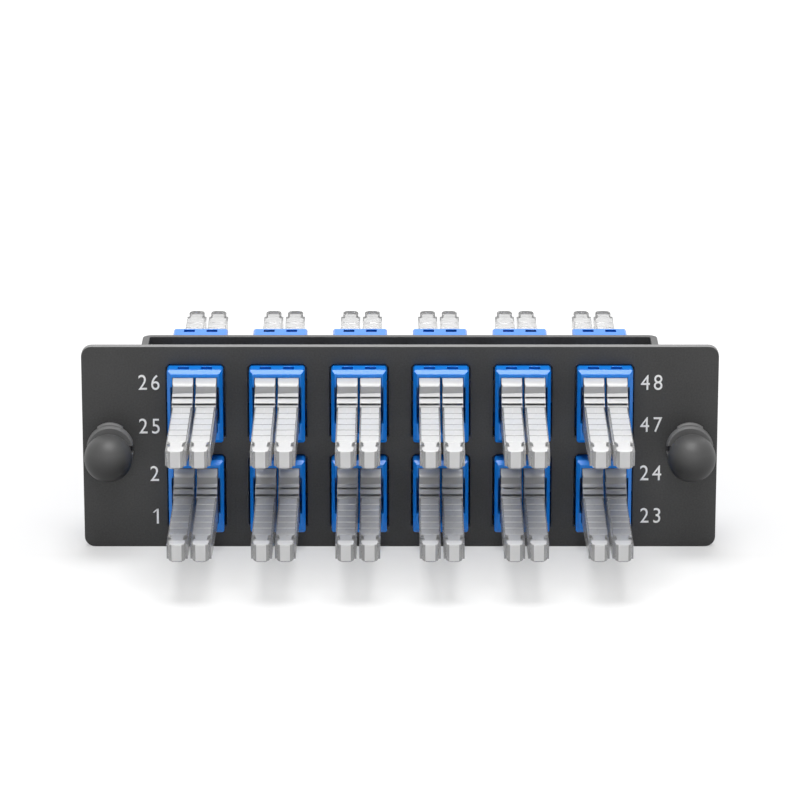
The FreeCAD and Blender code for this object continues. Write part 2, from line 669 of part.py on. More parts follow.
os.makedirs("parts", exist_ok=True)
for node in nodes:
    node.Shape.exportStep(f"parts/{node.Label}.step")
print(len(nodes), "nodes,", sum(len(node.Shape.Solids) for node in nodes), "solids")
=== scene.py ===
# %% [markdown]
# # A fibre adapter panel
# The panel is a black steel plate with a folded bracket behind it. The bracket carries two rows of blue
# adapters, and a milky dust cap with a long ribbed handle closes each port. A ball-headed plunger at each
# end fastens the panel. The solids come from CAD at their true sizes, in metres. They could be rendered as
# they are, but real mouldings and coated sheets have soft edges that catch the light, so most pieces here
# are copies of the solids that get rounded edges and their own finishes.

# %% Load the solids
import math

import bpy
from mathutils import Matrix, Vector


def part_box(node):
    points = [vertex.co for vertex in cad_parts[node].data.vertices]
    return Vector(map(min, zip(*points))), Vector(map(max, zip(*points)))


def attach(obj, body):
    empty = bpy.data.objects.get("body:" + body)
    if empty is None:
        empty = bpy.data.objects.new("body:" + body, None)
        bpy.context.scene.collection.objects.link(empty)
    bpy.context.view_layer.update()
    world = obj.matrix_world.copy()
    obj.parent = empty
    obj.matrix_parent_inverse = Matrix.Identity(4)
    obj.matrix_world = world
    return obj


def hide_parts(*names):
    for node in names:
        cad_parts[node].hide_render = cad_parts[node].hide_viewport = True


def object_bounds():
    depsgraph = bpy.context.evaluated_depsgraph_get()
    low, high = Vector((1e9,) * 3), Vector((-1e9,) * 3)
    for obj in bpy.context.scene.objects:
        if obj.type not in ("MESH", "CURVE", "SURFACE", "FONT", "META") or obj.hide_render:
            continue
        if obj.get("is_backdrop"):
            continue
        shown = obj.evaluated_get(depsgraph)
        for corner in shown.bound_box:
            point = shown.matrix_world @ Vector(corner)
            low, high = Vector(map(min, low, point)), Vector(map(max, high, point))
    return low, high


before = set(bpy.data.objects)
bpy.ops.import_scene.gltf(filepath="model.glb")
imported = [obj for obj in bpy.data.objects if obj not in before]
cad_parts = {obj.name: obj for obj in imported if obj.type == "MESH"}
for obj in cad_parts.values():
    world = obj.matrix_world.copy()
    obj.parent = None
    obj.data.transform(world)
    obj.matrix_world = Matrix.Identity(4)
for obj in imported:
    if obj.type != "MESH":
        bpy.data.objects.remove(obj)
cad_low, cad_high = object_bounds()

MM = 0.001
NEAR = 0.01 * MM  # places this near count as the same
CLOSE = 0.001 * MM  # the same for cuts and merges, which have to be finer
print("CAD box in mm:", [round(v / MM, 1) for v in (*cad_low, *cad_high)])

# %% [markdown]
# ## Sums on sockets
# A finish needs a little arithmetic, such as a speckle that lightens the colour by a tenth. Math nodes can
# be wired one by one, but that hides the idea. Here one class wraps a socket, so that a sum of sockets and
# numbers is written as a sum, and its node method adds any other kind of node.

# %% A socket that does sums
class Wire:
    """One output of a finish's nodes."""

    def __init__(self, tree, socket):
        self.tree = tree
        self.socket = socket

    def node(self, kind, settings=None, inputs=None, output=0):
        """Adds a node: its settings first, then the numbers or wires of its inputs."""
        made = self.tree.nodes.new(kind)
        for name, value in (settings or {}).items():
            setattr(made, name, value)
        for key, value in (inputs or {}).items():
            if isinstance(value, Wire):
                self.tree.links.new(value.socket, made.inputs[key])
            else:
                made.inputs[key].default_value = value
        return Wire(self.tree, made.outputs[output])

    def sum(self, operation, first, second):
        return self.node("ShaderNodeMath", {"operation": operation}, {0: first, 1: second})

    def __add__(self, other):
        return self.sum("ADD", self, other)

    def __sub__(self, other):
        return self.sum("SUBTRACT", self, other)

    def __mul__(self, other):
        return self.sum("MULTIPLY", self, other)

    def above(self, other):
        return self.sum("GREATER_THAN", self, other)

    __radd__ = __add__
    __rmul__ = __mul__

    def mix(self, low, high):
        """A colour from low, where this is 0, to high, where it is 1."""
        settings = {"data_type": "RGBA", "clamp_factor": True}
        return self.node("ShaderNodeMix", settings, {0: self, 6: low, 7: high}, output=2)

    def noise(self, size, detail=2.0):
        """A soft speckle, from 0 to 1, whose grains are about this size in metres."""
        inputs = {"Vector": self, "Scale": 1 / size, "Detail": detail}
        return self.node("ShaderNodeTexNoise", None, inputs)


def grey(level):
    """A grey as the four numbers of a colour."""
    return (level, level, level, 1)


def start_finish(name, constants):
    """A new material, its shader with the values that are the same all over, and its place wire."""
    material = bpy.data.materials.new(name)
    material.use_nodes = True
    tree = material.node_tree
    shader = tree.nodes["Principled BSDF"]
    for key, value in constants.items():
        shader.inputs[key].default_value = value
    here = tree.nodes.new("ShaderNodeTexCoord")
    return material, Wire(tree, here.outputs["Object"]), shader


def feed(shader, key, wire):
    wire.tree.links.new(wire.socket, shader.inputs[key])


def feed_bump(shader, height, depth, strength):
    """Raises the surface by a height wire, from 0 to 1, over a depth in metres."""
    inputs = {"Strength": strength, "Distance": depth, "Height": height}
    feed(shader, "Normal", height.node("ShaderNodeBump", None, inputs))


print("Sums on sockets are ready")

# %% [markdown]
# ## Powder coat
# The plate and bracket are sheet steel under a fine black powder coat. The powder melts into a skin with
# tiny bumps, a third of a millimetre across, that break up the shine. A plain dark colour would look like
# paper, so two speckles are used: the fine one raises the skin and a wider one shifts the shade a little.

# %% The black powder coat
coat, place, shader = start_finish("black_powder_coat", {"Specular IOR Level": 0.3})
grains = place.noise(0.3 * MM, 3)
clouds = place.noise(9 * MM, 3)
shade = grains * 0.7 + clouds * 0.3
feed(shader, "Base Color", shade.mix(grey(0.025), grey(0.077)))
feed(shader, "Roughness", 0.36 + grains * 0.18)
feed_bump(shader, grains, 0.02 * MM, 0.5)
print("Made", coat.name)

# %% [markdown]
# ## Painted edge highlights
# The sheets' edges are painted a lighter grey than the coat, as a painted highlight of the light that
# catches them, and they outline the plate from above. The bracket's edges are painted darker than the
# plate's.

# %% The painted edge highlights
def edge_highlight_finish(name, low, high):
    """A painted edge highlight, from one grey to another."""
    material, place, shader = start_finish(name, {"Metallic": 0.2})
    grains = place.noise(0.25 * MM, 3)
    feed(shader, "Base Color", grains.mix(grey(low), grey(high)))
    feed(shader, "Roughness", 0.4 + grains * 0.2)
    print("Made", name)
    return material


plate_edge_highlight = edge_highlight_finish("plate_painted_edge_highlight", 0.14, 0.22)
bracket_edge_highlight = edge_highlight_finish("bracket_painted_edge_highlight", 0.045, 0.08)

# %% [markdown]
# ## Blue plastic
# The adapters are moulded in a saturated blue plastic with a satin skin. The colour is almost even, so only
# a faint cloud changes it, and a very fine bump keeps the reflections soft.

# %% The adapters' blue plastic
blue, place, shader = start_finish("adapter_blue", {"Specular IOR Level": 0.34})
skin = place.noise(0.12 * MM, 2)
clouds = place.noise(4 * MM, 2)
feed(shader, "Base Color", clouds.mix((0.006, 0.215, 0.79, 1), (0.012, 0.245, 0.85, 1)))
feed(shader, "Roughness", 0.14 + skin * 0.08)
feed_bump(shader, skin, 0.004 * MM, 0.3)
print("Made", blue.name)

# %% [markdown]
# ## Milky and clear plastic
# The dust caps are soft clear plastic. Where they are rubbed or thick they scatter light and look milky,
# and their smooth sides stay clear, so what lies behind shows as a blur. A see-through alpha would keep
# that background sharp. Rough transmission blurs it as the real plastic does, and the part that is not
# transmitted gives the milkiness. Deep in a narrow gap or in a thick clear end, rays bend so often that
# little light comes back, and a dark shade stands in for that. One recipe makes all these finishes.

# %% The caps' plastic
CAP_CLOUD = 0.03


def cap_plastic(name, clearness, level, rough):
    """A cap finish: the share of light it lets through, its grey and its roughness."""
    material, place, shader = start_finish(name, {"Transmission Weight": clearness, "IOR": 1.45})
    haze = place.noise(1.6 * MM, 3)
    feed(shader, "Base Color", haze.mix(grey(level - CAP_CLOUD), grey(level + CAP_CLOUD)))
    feed(shader, "Roughness", rough + haze * 0.08)
    print("Made", name)
    return material


milky = cap_plastic("cap_milky", 0.34, 0.9, 0.17)
# The lower row's copy: clearer, so that it looks darker, a painted shade.
lower_row_shade = cap_plastic("cap_lower_row_shade", 0.55, 0.9, 0.17)
clear = cap_plastic("cap_clear", 0.72, 0.9, 0.17)
# The rear caps' copy: darker and clearer, a painted shade.
glassy = cap_plastic("cap_glassy", 0.86, 0.72, 0.14)
deep = cap_plastic("cap_deep", 0.9, 0.16, 0.1)
shaded = cap_plastic("cap_gap", 0.5, 0.28, 0.3)

# %% [markdown]
# ## Black nylon, spring steel, ceramic and ink
# The plungers are black nylon with a soft shine, and their grommets a greyer nylon. Both are painted darker
# below and greyer above, a painted shade of the light from above. The clips are thin rolled steel, so their
# roughness runs in fine lines along the strip. The sleeves are white ceramic, and the numbers are a matt
# white ink with a faint grain.

# %% The small finishes
# Heights between which the nylon's painted shade runs from dark below to grey above
NYLON_PAINTED_SHADE_FROM = -2.5 * MM
NYLON_PAINTED_SHADE_TO = 1.5 * MM


def nylon_finish(name, low, high, gloss):
    """A dark nylon, painted darker below and greyer above: a painted shade of the light from above."""
    material, place, shader = start_finish(name, {"Specular IOR Level": gloss})
    skin = place.noise(0.3 * MM, 2)
    # Painted shade: 0 low down, where the nylon stays dark, to 1 higher up, where it is painted greyer
    height = place.node("ShaderNodeSeparateXYZ", None, {0: place}, output="Z")
    rise = {"Value": height, "From Min": NYLON_PAINTED_SHADE_FROM, "From Max": NYLON_PAINTED_SHADE_TO}
    painted_top_light = place.node("ShaderNodeMapRange", None, rise)
    feed(shader, "Base Color", (painted_top_light * 0.85 + skin * 0.15).mix(grey(low), grey(high)))
    feed(shader, "Roughness", 0.42 + skin * 0.12)
    feed_bump(shader, skin, 0.01 * MM, 0.4)
    return material


nylon = nylon_finish("fastener_black", 0.004, 0.075, 0.36)
grey_nylon = nylon_finish("grommet_grey", 0.08, 0.16, 0.36)

steel, place, shader = start_finish("clip_steel", {"Metallic": 1.0})
stretch = place.node("ShaderNodeMapping", None, {"Vector": place, "Scale": (1.0, 0.08, 1.0)})
lines = stretch.noise(0.05 * MM, 2)
feed(shader, "Base Color", lines.mix(grey(0.5), (0.66, 0.66, 0.65, 1)))
feed(shader, "Roughness", 0.22 + lines * 0.2)

ceramic, place, shader = start_finish("sleeve_ceramic", {})
specks = place.noise(0.4 * MM, 2)
feed(shader, "Base Color", specks.mix((0.8, 0.79, 0.75, 1), (0.87, 0.86, 0.83, 1)))
feed(shader, "Roughness", 0.2 + specks * 0.1)

ink, place, shader = start_finish("number_ink", {})
grains = place.noise(0.2 * MM, 2)
feed(shader, "Base Color", grains.mix(grey(0.88), grey(0.98)))
feed(shader, "Roughness", 0.5 + grains * 0.2)
print("Made", nylon.name, grey_nylon.name, steel.name, ceramic.name, ink.name)

# %% [markdown]
# ## Soft edges
# Moulded plastic and coated sheet never have knife edges: each one is rounded by about a tenth of a
# millimetre and shows as a thin bright line. A CAD solid arrives as loose triangles, so a copy is merged,
# its flat triangles are dissolved into whole faces, and a bevel rounds what is left.

# %% Merge and round a copy of a solid
FLAT = math.radians(1)  # triangles that lean less than this are one face
SMOOTH_BELOW = math.radians(35)


def only(piece):
    """Makes one piece the selected and active one."""
    bpy.ops.object.select_all(action="DESELECT")
    piece.select_set(True)
    bpy.context.view_layer.objects.active = piece


def flat_faced(node, name):
    """A copy of a CAD node with its triangles merged into flat faces."""
    piece = bpy.data.objects.new(name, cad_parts[node].data.copy())
    bpy.context.scene.collection.objects.link(piece)
    only(piece)
    bpy.ops.object.mode_set(mode="EDIT")
    bpy.ops.mesh.select_all(action="SELECT")
    bpy.ops.mesh.remove_doubles(threshold=CLOSE)
    bpy.ops.mesh.dissolve_limited(angle_limit=FLAT)
    bpy.ops.object.mode_set(mode="OBJECT")
    return piece


def select_where(piece, kind, test):
    """Selects vertices, edges or faces by a test. The piece is in object mode before and after."""
    mesh = piece.data
    for part in (mesh.vertices, mesh.edges, mesh.polygons):
        part.foreach_set("select", [False] * len(part))
    kinds = ("vertices", "edges", "polygons")
    bpy.context.tool_settings.mesh_select_mode = [kind == name for name in kinds]
    for part in getattr(mesh, kind):
        part.select = test(part)


def select_faces(piece, test):
    """Selects the faces whose middle and normal pass a test."""
    select_where(piece, "polygons", lambda face: test(face.center, face.normal))


def select_edges(piece, test):
    """Selects the edges whose two ends both pass a test."""
    points = piece.data.vertices
    select_where(piece, "edges", lambda edge: all(test(points[end].co) for end in edge.vertices))


def in_edit(operation, **values):
    """Runs one edit-mode operation on what is selected."""
    bpy.ops.object.mode_set(mode="EDIT")
    operation(**values)
    bpy.ops.object.mode_set(mode="OBJECT")


def even_shading(piece):
    """Shades curves smoothly, and keeps each large flat face even up to its rounded edges."""
    only(piece)
    bpy.ops.object.shade_smooth_by_angle(angle=SMOOTH_BELOW)
    leaning = piece.modifiers.new("leaning", "WEIGHTED_NORMAL")
    leaning.weight = 100
    leaning.keep_sharp = True
    bpy.ops.object.modifier_apply(modifier=leaning.name)


def round_edges(piece, radius, angle=30):
    """Rounds every edge that is sharper than the angle."""
    only(piece)
    bevel = piece.modifiers.new("rounding", "BEVEL")
    bevel.limit_method = "ANGLE"
    bevel.angle_limit = math.radians(angle)
    bevel.width = radius
    bevel.segments = 2
    bpy.ops.object.modifier_apply(modifier=bevel.name)
    even_shading(piece)
    return piece


def dress(piece, material):
    """Gives a piece one finish."""
    piece.data.materials.clear()
    piece.data.materials.append(material)


def softened(node, name, radius, material, body="panel"):
    """A rounded copy of a CAD node that takes the node's place."""
    piece = round_edges(flat_faced(node, name), radius)
    dress(piece, material)
    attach(piece, body)
    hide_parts(node)
    print(name, len(piece.data.polygons), "faces")
    return piece


# %% [markdown]
# ## Plate and bracket
# Both are cut from sheet, and the bracket is folded into a channel. The coat rounds their edges. A whole
# face is either coated or given the painted edge highlight, and the faces that run through the sheet get
# it.

# %% Dress the sheet metal
def paint_edge_highlights(piece, material, test):
    """Gives the faces whose normal passes a test the painted edge highlight."""
    piece.data.materials.append(material)
    for face in piece.data.polygons:
        face.material_index = int(test(face.normal))


plate = softened("front_plate", "plate", 0.12 * MM, coat)
paint_edge_highlights(plate, plate_edge_highlight, lambda n: abs(n.y) < 0.5)
bracket = softened("rear_bracket", "bracket", 0.1 * MM, coat)
paint_edge_highlights(bracket, bracket_edge_highlight, lambda n: abs(n.z) > 0.6)

# %% [markdown]
# ## Adapters and clips
# Each row of housings is one piece, because all six are alike and none moves. Behind each mouth is a window
# in the roof for a connector's latch. Its far wall is pushed back under the roof, as a seat for the latch's
# hook, and shows as a dark slit. The clips are too thin for rounding to show, so they keep their solid and
# only get the steel.

# %% Dress the adapters
WINDOW_WALLS = (-1.95 * MM, 20.95 * MM)
LATCH_SEAT = 0.5 * MM
for row in ("lower", "upper"):
    housings = softened(f"adapters_{row}_row", f"housings_{row}", 0.1 * MM, blue)
    for wall in WINDOW_WALLS:
        select_faces(housings, lambda c, n: n.y < -0.95 and abs(c.y - wall) < NEAR)
        print(sum(face.select for face in housings.data.polygons), "latch seats at", round(wall / MM, 2))
        in_edit(bpy.ops.mesh.extrude_region_move, TRANSFORM_OT_translate={"value": (0, LATCH_SEAT, 0)})
    even_shading(housings)
dress(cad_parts["adapter_clips"], steel)

# %% [markdown]
# ## Dust caps
# A cap plugs its port, slopes down in a nose and ends in a long flat handle with an end block to pull on.
# It is one soft moulding. The solid has its plain form. The fine parts are modelled here on one copy, which
# is moved so that the middle of its port's mouth is the origin and the handle runs along -Y.

# %% The cap's plain form
PLUG_DEPTH = 7.5 * MM
PORT_MIDDLE = 4.875 * MM  # above the cap's lowest point


def mouth_of(node):
    """The middle of the mouth of the port that a cap closes."""
    low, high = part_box(node)
    y = high.y - PLUG_DEPTH if node.startswith("front") else low.y + PLUG_DEPTH
    return Vector(((low.x + high.x) / 2, y, low.z + PORT_MIDDLE))


cap = flat_faced("front_cap_01", "cap_master")
cap.data.transform(Matrix.Translation(-mouth_of("front_cap_01")))
print("The plain cap has", len(cap.data.polygons), "faces")

# %% [markdown]
# ## Ribs for the fingers
# Six flat ribs along the handle's ridge, with narrow grooves between them, stop the fingers slipping. Each
# rib could be a block of its own, but then the ridge would be full of hidden faces. Cuts across the ridge
# are enough: the points between two cuts go down and make a groove. The mould's parting line runs down the
# middle and is made in the same way.

# %% The ribs and the parting line
RIDGE_LEVEL = 1.175 * MM
RIDGE_START = 4.95 * MM
RIB_LENGTH = 3.15 * MM
RIBS = 6
GROOVE_HALF = 0.2 * MM
GROOVE_FLOOR = 0.12 * MM
GROOVE_DEPTH = 0.17 * MM
PARTING_HALF = 0.08 * MM
PARTING_DEPTH = 0.03 * MM


def cut_at_x(x):
    """Cuts the selected faces lengthwise."""
    in_edit(bpy.ops.mesh.bisect, plane_co=(x, 0, 0), plane_no=(1, 0, 0), threshold=CLOSE)


def cut_at_y(y):
    """Cuts the selected faces crosswise."""
    in_edit(bpy.ops.mesh.bisect, plane_co=(0, y, 0), plane_no=(0, 1, 0), threshold=CLOSE)


def select_ridge():
    """Selects the top of the ridge."""
    select_faces(cap, lambda c, n: abs(c.z - RIDGE_LEVEL) < NEAR and n.z > 0.9)


def lower_ridge(test, fall):
    """Moves the points of the ridge's top that pass a test down."""
    select_where(cap, "vertices", lambda v: abs(v.co.z - RIDGE_LEVEL) < NEAR and test(v.co))
    in_edit(bpy.ops.transform.translate, value=(0, 0, -fall))


grooves = [-RIDGE_START - RIB_LENGTH * rib for rib in range(1, RIBS)]
only(cap)
for x in (-PARTING_HALF, 0, PARTING_HALF):
    select_ridge()
    cut_at_x(x)
for groove in grooves:
    for offset in (-GROOVE_HALF, -GROOVE_FLOOR, GROOVE_FLOOR, GROOVE_HALF):
        select_ridge()
        cut_at_y(groove + offset)
lower_ridge(lambda p: any(abs(p.y - groove) < GROOVE_FLOOR + NEAR for groove in grooves), GROOVE_DEPTH)
lower_ridge(lambda p: abs(p.x) < NEAR, PARTING_DEPTH)
print("The ribbed cap has", len(cap.data.polygons), "faces")

# %% [markdown]
# ## Undercuts and soft corners
# Two dark lines cross the cap where its nose steps down to the handle: narrow undercuts, out of reach of
# the light. Each step's upright face is pushed into the cap, but for a thin wall at its two ends. Then the
# nose's two bends become one long curve, the neck is drawn in after the last rib, and the end block's
# corners are rounded for the fingers. Last, each face gets its finish by where it is and which way it
# looks, and the undercuts' walls and the ledges beside the neck get a painted shade.

# %% The undercuts
UNDERCUT = 0.7 * MM
END_WALL = 1.62 * MM
FIRST_STEP = 3.0 * MM
FIRST_STEP_LOW, FIRST_STEP_HIGH = 1.7 * MM, 2.25 * MM
STEP_SLIDE = Vector((0, 0.4 * MM, 0.23 * MM))
STEPS = {2.6 * MM: 2.205 * MM, 4.0 * MM: 1.45 * MM}  # after the slide: place along the cap, and height
STEP_REACH = 0.1 * MM


def on_first_step(point):
    """A point of the first step, where the solid has it."""
    return abs(point.co.y + FIRST_STEP) < NEAR and FIRST_STEP_LOW < point.co.z < FIRST_STEP_HIGH


def on_step(c, n, step, level):
    """A part of the upright face of the step at this place and height."""
    return abs(c.y + step) < NEAR and abs(c.z - level) < STEP_REACH and n.y < -0.9


select_where(cap, "vertices", on_first_step)
print(sum(point.select for point in cap.data.vertices), "points of the first step slide up the nose")
in_edit(bpy.ops.transform.translate, value=STEP_SLIDE)
for step, level in STEPS.items():
    for x in (-END_WALL, END_WALL):
        select_faces(cap, lambda c, n: on_step(c, n, step, level))
        cut_at_x(x)
    select_faces(cap, lambda c, n: on_step(c, n, step, level) and abs(c.x) < NEAR)
    in_edit(bpy.ops.mesh.extrude_region_move, TRANSFORM_OT_translate={"value": (0, UNDERCUT, 0)})
print("The undercut cap has", len(cap.data.polygons), "faces")

# %% The curved nose and the neck
NOSE_FROM, NOSE_TO, NOSE_LEVEL = -1.8 * MM, -1.2 * MM, 2.5 * MM
BLOCK_START = -27.0 * MM
BLOCK_BEND = -28.3 * MM
LAST_RIB_END = -23.85 * MM
NECK_FROM, NECK_TO = -26.4 * MM, -24.0 * MM
NECK_START = -24.4 * MM
NECK_SHARE = 0.78
LEDGE_LOW, LEDGE_HIGH = 0.4 * MM, 0.6 * MM
TOP_LEVEL = 1.0 * MM


def on_neck(c, n):
    """The neck's sides and top."""
    return NECK_FROM < c.y < NECK_TO and (abs(n.x) > 0.5 or n.z > 0.9 and c.z > TOP_LEVEL)


select_edges(cap, lambda p: NOSE_FROM < p.y < NOSE_TO and p.z > NOSE_LEVEL)
in_edit(bpy.ops.mesh.bevel, offset=0.35 * MM, segments=4)
select_faces(cap, lambda c, n: n.z > 0.9 and c.y < NECK_TO)
cut_at_y(BLOCK_START)
select_faces(cap, on_neck)
cut_at_y(NECK_START)
select_faces(cap, lambda c, n: n.z > 0.9 and LEDGE_LOW < c.z < LEDGE_HIGH)
print(sum(face.select for face in cap.data.polygons), "ledges beside the ridge")
cut_at_y(LAST_RIB_END)
select_where(cap, "vertices", lambda v: abs(v.co.y - NECK_START) < NEAR and v.co.z > LEDGE_LOW)
in_edit(bpy.ops.transform.resize, value=(NECK_SHARE, 1, 1), center_override=(0, NECK_START, 0))

# %% The end block's soft corners
UPRIGHT_LEAST = 1.0 * MM
BLOCK_FLOOR, BLOCK_ROOF = -2.0 * MM, 1.05 * MM


def upright(edge):
    """An upright edge at the front of the end block."""
    low, high = (cap.data.vertices[end].co for end in edge.vertices)
    return max(low.y, high.y) < BLOCK_BEND and abs(low.z - high.z) > UPRIGHT_LEAST


select_where(cap, "edges", upright)
in_edit(bpy.ops.mesh.bevel, offset=0.22 * MM, segments=3)
select_edges(cap, lambda p: p.y < BLOCK_BEND and p.z < BLOCK_FLOOR)
in_edit(bpy.ops.mesh.bevel, offset=0.45 * MM, segments=4)
select_edges(cap, lambda p: p.y < BLOCK_BEND and p.z > BLOCK_ROOF)
in_edit(bpy.ops.mesh.bevel, offset=0.25 * MM, segments=3)
round_edges(cap, 0.06 * MM, angle=55)
print("The rounded cap has", len(cap.data.polygons), "faces")

# %% The cap's finishes
RUBBED, SMOOTH, GRIP, PAINTED_SHADE, RIB = range(5)
STEEP, FLAT_ON, LOOKS_UP = 0.6, 0.85, 0.2  # limits for a face's normal
NECK_FINISH_TO = NECK_START + 1.0 * MM
dress(cap, milky)
for material in (clear, milky, shaded, clear):
    cap.data.materials.append(material)


def finish_of(middle, out):
    """Which of the cap's finishes a face gets, from its middle and its normal."""
    # The undercuts' walls get the painted shade.
    for step, level in STEPS.items():
        if NEAR < middle.y + step < UNDERCUT + NEAR and abs(middle.z - level) < 2 * STEP_REACH:
            return PAINTED_SHADE
    block_top = middle.y < BLOCK_START and middle.z > TOP_LEVEL and out.z > FLAT_ON
    block_face = middle.y < BLOCK_BEND and out.y < -FLAT_ON
    if block_top or block_face:
        return GRIP
    steep = middle.y < 0 and out.z < STEEP
    sideways = abs(out.x) > STEEP
    in_groove = any(abs(middle.y - groove) < GROOVE_HALF for groove in grooves)
    # Forward-facing groove walls: clear on the upper row, milky on the lower row, where they are a painted
    # highlight.
    if steep and in_groove and abs(out.x) < STEEP:
        return RIB
    in_neck = BLOCK_START < middle.y < NECK_FINISH_TO
    low_down = middle.z < LEDGE_HIGH
    # The ledges beside the neck get the painted shade too.
    if in_neck and out.z > LOOKS_UP and low_down:
        return PAINTED_SHADE
    clear_side = (sideways or steep) and not in_neck
    return SMOOTH if clear_side or low_down else RUBBED


for face in cap.data.polygons:
    face.material_index = finish_of(face.center, face.normal)
print("The finished cap has", len(cap.data.polygons), "faces")

# %% [markdown]
# ## A cap in every port
# The finished cap is copied to all the ports, each copy with its own mesh. The rear caps are the same
# moulding turned half round, painted darker and clearer: a painted shade for the dark that their thick
# clear plastic shows. The lower front row, in the upper row's shade, is painted clearer so that it looks
# darker, a painted shade, and its milky groove walls show as light lines, a painted highlight.

# %% Copy it to every port
half_turn = Matrix.Rotation(math.pi, 4, "Z")
for node in sorted(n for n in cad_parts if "_cap_" in n):
    shape = cap.data.copy()
    if node.startswith("rear"):
        shape.transform(half_turn)
        # The rear caps get painted shade: darker, clearer finishes and the deep shade on their end block.
        shape.materials[RUBBED], shape.materials[SMOOTH], shape.materials[GRIP] = glassy, glassy, deep
    elif mouth_of(node).z < 0:
        # The lower row gets painted shade and highlight: a clearer finish that looks darker, and milky
        # groove walls.
        shape.materials[RUBBED], shape.materials[RIB] = lower_row_shade, milky
    shape.transform(Matrix.Translation(mouth_of(node)))
    piece = bpy.data.objects.new("dust_" + node, shape)
    bpy.context.scene.collection.objects.link(piece)
    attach(piece, node)
    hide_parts(node)
bpy.data.objects.remove(cap)
print("Capped every port")

# %% [markdown]
# ## Fasteners
# The grommet keeps its CAD form with rounded edges. The plunger's ball is the roundest thing on the panel,
# and coarse facets would show in its highlight, so it is made afresh: a fine sphere is cut flat behind and
# the shaft is extruded from the cut.

# %% The grommets
COLLAR_FRONT, COLLAR_REACH = -3.1 * MM, 3.4 * MM
LUG_FRONT, LUG_REACH = -2.3 * MM, 4.1 * MM


def on_rim(point, axis):
    """On the outer edge of the collar's face, or of a lug's."""
    reach = math.hypot(point.x - axis, point.z)
    on_collar = abs(point.y - COLLAR_FRONT) < NEAR and reach > COLLAR_REACH
    on_lug = abs(point.y - LUG_FRONT) < NEAR and reach > LUG_REACH
    return on_collar or on_lug


for side in ("left", "right"):
    node = f"{side}_grommet"
    bush = flat_faced(node, f"{side}_bush")
    low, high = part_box(node)
    middle_x = (low.x + high.x) / 2
    select_edges(bush, lambda p: on_rim(p, middle_x))
    in_edit(bpy.ops.mesh.bevel, offset=0.3 * MM, segments=3)
    round_edges(bush, 0.1 * MM)
    dress(bush, grey_nylon)
    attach(bush, "panel")
    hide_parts(node)
    print(bush.name, len(bush.data.polygons), "faces")

# %% The plungers
BALL_RADIUS = 4.1 * MM
BALL_PLACE = 7.7 * MM
BALL_BACK = 4.0 * MM
SHAFT_RADIUS = 1.55 * MM
TIP_LENGTH = 0.5 * MM
TIP_SHARE = 0.68
for side in ("left", "right"):
    low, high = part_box(f"{side}_plunger")
    middle_x = (low.x + high.x) / 2
    ball = Vector((middle_x, -BALL_PLACE, 0))
    bpy.ops.object.select_all(action="DESELECT")
    bpy.ops.mesh.primitive_uv_sphere_add(
        segments=64, ring_count=40, radius=BALL_RADIUS, location=ball, rotation=(math.pi / 2, 0, 0))
    piece = bpy.context.active_object
    piece.name = f"{side}_knob"
    bpy.ops.object.transform_apply(location=True, rotation=True, scale=True)
    bpy.ops.object.mode_set(mode="EDIT")
    bpy.ops.mesh.select_all(action="SELECT")
    back = Vector((middle_x, -BALL_BACK, 0))
    bpy.ops.mesh.bisect(plane_co=back, plane_no=(0, 1, 0), use_fill=True, clear_outer=True)
    bpy.ops.object.mode_set(mode="OBJECT")
    select_faces(piece, lambda c, n: abs(c.y + BALL_BACK) < NEAR and n.y > 0.9)
    bpy.ops.object.mode_set(mode="EDIT")
    back_radius = math.sqrt(BALL_RADIUS**2 - (ball.y + BALL_BACK) ** 2)
    bpy.ops.mesh.inset(thickness=back_radius - SHAFT_RADIUS)
    for run in (high.y + BALL_BACK - TIP_LENGTH, TIP_LENGTH):
        bpy.ops.mesh.extrude_region_move(TRANSFORM_OT_translate={"value": (0, run, 0)})
    bpy.ops.transform.resize(value=(TIP_SHARE, 1, TIP_SHARE), center_override=(middle_x, high.y, 0))
    bpy.ops.object.mode_set(mode="OBJECT")
    round_edges(piece, 0.12 * MM)
    dress(piece, nylon)
    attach(piece, f"{side}_plunger")
    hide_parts(f"{side}_plunger")
    print(piece.name, len(piece.data.polygons), "faces")

# %% [markdown]
# ## Alignment sleeves
# Inside each adapter, four split ceramic sleeves line up the ends of the fibres. They only show when a cap
# is pulled. A sleeve is a short open cylinder: one strip of its wall is deleted for the slit, and a
# solidify modifier gives the wall its thickness.

# %% One split sleeve
SLEEVE_RADIUS = 0.81 * MM
SLEEVE_LENGTH = 9.0 * MM
SLEEVE_WALL = 0.185 * MM
ADAPTER_MIDDLE = 8.75 * MM
bpy.ops.object.select_all(action="DESELECT")
bpy.ops.mesh.primitive_cylinder_add(
    vertices=24, radius=SLEEVE_RADIUS, depth=SLEEVE_LENGTH, end_fill_type="NOTHING",
    rotation=(math.pi / 2, 0, 0))
sleeve = bpy.context.active_object
bpy.ops.object.transform_apply(location=True, rotation=True, scale=True)
lowest = min(face.center.z for face in sleeve.data.polygons)
select_faces(sleeve, lambda c, n: c.z < lowest + CLOSE)
bpy.ops.object.mode_set(mode="EDIT")
bpy.ops.mesh.delete(type="FACE")
bpy.ops.object.mode_set(mode="OBJECT")
wall = sleeve.modifiers.new("wall", "SOLIDIFY")
wall.thickness = SLEEVE_WALL
wall.offset = -1
bpy.ops.object.modifier_apply(modifier=wall.name)
bpy.ops.object.shade_smooth_by_angle(angle=SMOOTH_BELOW)
dress(sleeve, ceramic)
print("One sleeve has", len(sleeve.data.polygons), "faces")

